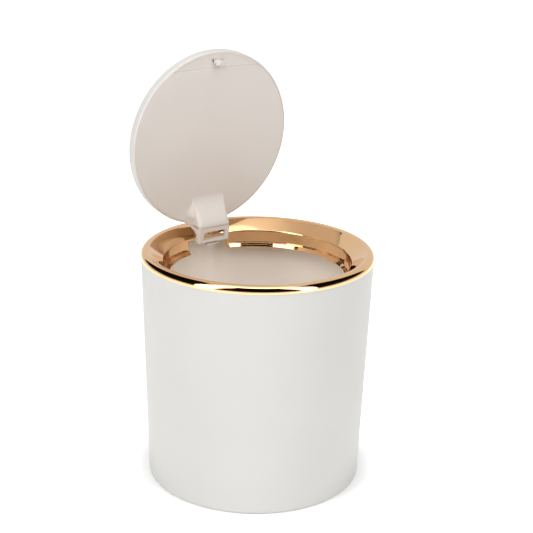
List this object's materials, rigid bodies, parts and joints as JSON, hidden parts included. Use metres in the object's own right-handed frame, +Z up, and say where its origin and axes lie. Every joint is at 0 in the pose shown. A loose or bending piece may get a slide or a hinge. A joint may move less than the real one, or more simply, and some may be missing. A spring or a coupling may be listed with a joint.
{
  "type": "countertop trash can",
  "caption": "Tapered white countertop trash can with a rose-gold rim ring and a sprung, push-latched flip lid hinged at the rear.",
  "frame": {"origin": "centre of the footprint, on the surface that the foot pads stand on", "axes": "+Z up along the can's axis, -Y towards the front (latch side), +Y towards the lid's hinge"},
  "size_m": [0.16, 0.16, 0.291],
  "materials": {
    "white_shell": "satin pearl-white moulded plastic",
    "lid_inner_white": "satin off-white moulded plastic",
    "rose_gold_plate": "mirror-bright rose-gold electroplate on moulded plastic",
    "spring_steel": "drawn spring steel",
    "latch_plastic": "fine matt moulded plastic",
    "latch_slider_plastic": "self-lubricating moulded plastic",
    "foot_rubber": "soft translucent grey rubber"
  },
  "bodies": {
    "can": {"can_body": "white_shell", "foot_pad_1": "foot_rubber", "foot_pad_2": "foot_rubber", "foot_pad_3": "foot_rubber", "foot_pad_4": "foot_rubber"},
    "ring": {"rim_ring": "rose_gold_plate", "hinge_pin": "spring_steel", "hinge_spring_left": "spring_steel", "hinge_spring_right": "spring_steel", "latch_housing": "latch_plastic", "latch_cover": "latch_plastic", "latch_spring": "spring_steel", "latch_cam_pin": "spring_steel", "latch_screws": "spring_steel"},
    "lid": {"lid_cover": "white_shell", "lid_base": "lid_inner_white", "lid_striker": "lid_inner_white"},
    "slider": {"latch_slider": "latch_slider_plastic"}
  },
  "joints": [
    {"name": "ring_lift", "type": "slide", "parent": "can", "child": "ring", "axis": [0, 0, 1], "range_m": [0, 0.045]},
    {"name": "lid_hinge", "type": "hinge", "parent": "ring", "child": "lid", "pos_m": [0, 0.0723, 0.1563], "axis": [1, 0, 0], "range_deg": [0, 85], "stiffness_Nm_per_rad": 0.028, "springref_deg": -40.11, "deforming": ["hinge_spring_left", "hinge_spring_right"]},
    {"name": "latch_press", "type": "slide", "parent": "ring", "child": "slider", "axis": [0, 0, -1], "range_m": [0, 0.004], "stiffness_N_per_m": 150, "springref_m": -0.004, "deforming": ["latch_spring"]}
  ]
}
